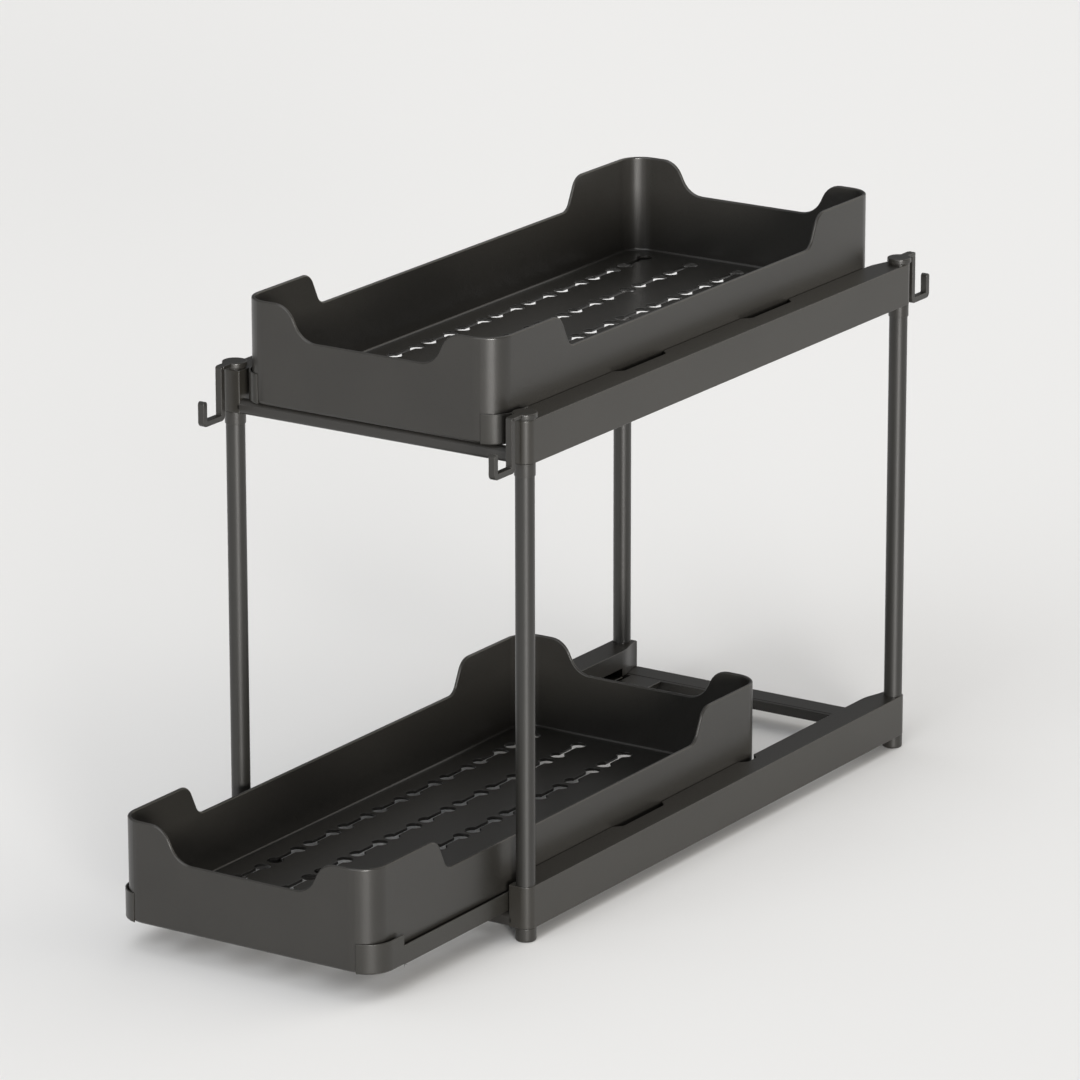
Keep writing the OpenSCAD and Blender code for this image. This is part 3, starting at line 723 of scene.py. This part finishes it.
for node in node_of_slot["basket"]:
    low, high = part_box(node)
    half_x, half_y = (high.x - low.x) / 2, (high.y - low.y) / 2
    middle = np.array([(low.x + high.x) / 2, (low.y + high.y) / 2, low.z])
    pad_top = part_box(node.replace("basket", "left_runner"))[1].z - low.z
    walls, wall_faces = basket_walls(half_x, half_y, high.z - low.z, pad_top)
    cells, cell_faces = floor_cells()
    points = np.concatenate([walls, cells]) + middle
    faces = np.concatenate([wall_faces, cell_faces + len(walls)])
    place_piece(mesh_of(node, [(points, faces)]), node, basket_plastic, 0)


# The four runners: moulded strips along the baskets' sides that ride in the rails. Each has
# a groove behind a thin lip, wraps the basket's front corner as a taller pad, and carries
# a stop lug near its rear end.
runner_colour = (0.0144, 0.0136, 0.0116)
runner_edge = 0.0003
runner_t = 0.003
lip_t = 0.001
groove_d = 0.004
pad_l = 0.0262
pad_r = 0.016
pad_front_t = 0.001
pad_round = 0.001
band_h = 0.0105
lug_l = 0.010
lug_from_rear = 0.0592
runner_plastic = moulded_plastic("runner_plastic", runner_colour, 0.32)


def runner_shell(half_x, front_y, rear_y, pad_h):
    """The runner's section carried from the pad's front edge round the corner and straight
    back. The outer face starts flush with the pad's round bottom edge, and behind the lip a
    groove steps down to the strip's full thickness, which grows round the corner."""
    outer_x = half_x + runner_t
    corner_x, corner_y = outer_x - pad_r, front_y + pad_r
    start_x = half_x - pad_wrap + 0.00015
    first = np.arcsin((start_x - corner_x) / pad_r)
    turn = np.linspace(first, np.pi / 2, 15)
    pad_rear = front_y + 0.0002 + pad_l
    straight = np.array([pad_rear, pad_rear, (pad_rear + rear_y) / 2, rear_y])
    x = np.concatenate([corner_x + pad_r * np.sin(turn), np.full(4, outer_x)])
    y = np.concatenate([corner_y - pad_r * np.cos(turn), straight])
    out_x = np.concatenate([np.sin(turn), np.ones(4)])
    out_y = np.concatenate([-np.cos(turn), np.zeros(4)])
    thick = np.concatenate([np.interp(turn, [first, np.pi / 2], [pad_front_t, runner_t]), np.full(4, runner_t)])
    top = np.concatenate([np.full(16, pad_h), np.full(3, band_h)])
    edge = np.concatenate([np.full(16, pad_round), np.full(3, 0.0003)])
    arc = np.linspace(1.5 * np.pi, np.pi, 6)
    inset = np.concatenate([np.minimum(edge + edge * np.cos(arc)[:, None], thick - 0.0001),
                            [np.zeros(19), np.full(19, lip_t) * 0.999, np.full(19, lip_t) * 0.999, thick, thick]])
    level = np.concatenate([edge + edge * np.sin(arc)[:, None], [top, top, top - groove_d, top - groove_d,
                                                                 np.zeros(19)]])
    points = np.stack([x - inset * out_x, y - inset * out_y, level], -1).transpose(1, 0, 2)
    stations, count = points.shape[:2]
    ends = [list(range(count - 1, -1, -1)), list(range((stations - 1) * count, stations * count))]
    return points.reshape(-1, 3), grid_faces(stations, count, columns_close=True).tolist() + ends


for node in node_of_slot["runner"]:
    low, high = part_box(node)
    side = -1 if "left" in node else 1
    basket_low, basket_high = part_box(node.split("_")[0] + "_basket")
    basket_half = (basket_high.x - basket_low.x) / 2
    reach = max(abs(low.x), abs(high.x))
    lug_x = basket_half + runner_t - 0.0005
    lug = rounded([(lug_x, 0), (reach, 0), (reach, band_h), (lug_x, band_h)], 0.0006, 4)
    lug_y = high.y - lug_from_rear
    shells = [runner_shell(basket_half, low.y, high.y, high.z - low.z), straight_bar(lug, 1, lug_y - lug_l, lug_y)]
    shells = [(points * [side, 1, 1] + [0, 0, low.z], faces) for points, faces in shells]
    place_piece(mesh_of(node, shells), node, runner_plastic, runner_edge)


# The plain pale floor that the organizer stands on. It runs out of the picture on all sides.
floor_size = 30.0
floor_colour = (0.80, 0.80, 0.80)
floor_mesh = bpy.data.meshes.new("floor")
floor_corners = np.array([(-1, -1, 0), (1, -1, 0), (1, 1, 0), (-1, 1, 0)]) * floor_size
floor_mesh.from_pydata(floor_corners.tolist(), [], [(0, 1, 2, 3)])
floor = bpy.data.objects.new("floor", floor_mesh)
bpy.context.scene.collection.objects.link(floor)
floor_material = bpy.data.materials.new("floor_paper")
floor_material.use_nodes = True
floor_shader = floor_material.node_tree.nodes["Principled BSDF"]
floor_shader.inputs["Base Color"].default_value = (*floor_colour, 1)
floor_shader.inputs["Roughness"].default_value = 0.9
floor_shader.inputs["Specular IOR Level"].default_value = 0.0
floor_mesh.materials.append(floor_material)

# Soft studio light from boxes all round, written as soft lobes of the surround. Each has the
# direction that it shines from (degrees round from the front, and up), its half width in
# radians, its strength and its tint. The narrow strip to the right of the front draws the
# bright lines on the posts and corners.
surround = 0.15
boxes = [
    ("front_strip", 47, 2, 0.22, 115.0, (1.0, 0.975, 0.94)),
    ("front_left_strip", -18, 2, 0.32, 2.5, (1.0, 1.0, 1.0)),
    ("front_low", 0, 14, 0.5, 0.6, (1.0, 1.0, 1.0)),
    ("front_high", 0, 42, 0.62, 2.3, (0.98, 0.99, 1.0)),
    ("right_rear_strip", 155, 4, 0.4, 1.7, (1.0, 0.93, 0.80)),
    ("right_rear_high", 135, 42, 0.62, 0.96, (1.0, 0.94, 0.84)),
    ("rear_high", 180, 42, 0.62, 0.8, (1.0, 1.0, 1.0)),
    ("left_high", 270, 42, 0.62, 0.5, (1.0, 1.0, 1.0)),
    ("above", 0, 90, 0.62, 1.1, (1.0, 1.0, 1.0)),
]
world = bpy.data.worlds.new("studio")
bpy.context.scene.world = world
world.use_nodes = True
sky = world.node_tree
background = sky.nodes["Background"]
direction = sky.nodes.new("ShaderNodeTexCoord")
total = None
for name, azimuth, elevation, width, strength, tint in boxes:
    round_to, up_to = np.radians(azimuth), np.radians(elevation)
    towards = (np.cos(up_to) * np.sin(round_to), -np.cos(up_to) * np.cos(round_to), np.sin(up_to))
    dot = sky.nodes.new("ShaderNodeVectorMath")
    dot.operation = "DOT_PRODUCT"
    dot.inputs[1].default_value = towards
    lobe = sky.nodes.new("ShaderNodeMapRange")
    lobe.interpolation_type = "SMOOTHERSTEP"
    lobe.inputs["From Min"].default_value = float(np.cos(width))
    lobe.inputs["From Max"].default_value = 1.0
    tinted = sky.nodes.new("ShaderNodeVectorMath")
    tinted.operation = "SCALE"
    tinted.inputs[0].default_value = [channel * strength for channel in tint]
    add = sky.nodes.new("ShaderNodeVectorMath")
    add.operation = "ADD"
    add.inputs[0].default_value = (surround, surround, surround)
    sky.links.new(direction.outputs["Generated"], dot.inputs[0])
    sky.links.new(dot.outputs["Value"], lobe.inputs["Value"])
    sky.links.new(lobe.outputs["Result"], tinted.inputs["Scale"])
    sky.links.new(tinted.outputs["Vector"], add.inputs[1])
    if total:
        sky.links.new(total, add.inputs[0])
    total = add.outputs["Vector"]
sky.links.new(total, background.inputs["Color"])

# The camera stands where the photograph was taken from, with a long lens.
camera_data = bpy.data.cameras.new("camera")
camera_data.lens = 221.26
camera_data.sensor_width = 36.0
camera_data.clip_end = 100.0
camera = bpy.data.objects.new("camera", camera_data)
bpy.context.scene.collection.objects.link(camera)
right = Vector((0.8363, 0.5483, -0.0014)).normalized()
forward = Vector((-0.5252, 0.8003, -0.2893)).normalized()
up = right.cross(forward).normalized()
camera.matrix_world = Matrix.Translation((1.9128, -2.9516, 1.2204)) @ Matrix(
    (right, up, -forward)).transposed().to_4x4()
bpy.context.scene.camera = camera
bpy.context.scene.view_settings.view_transform = "Standard"
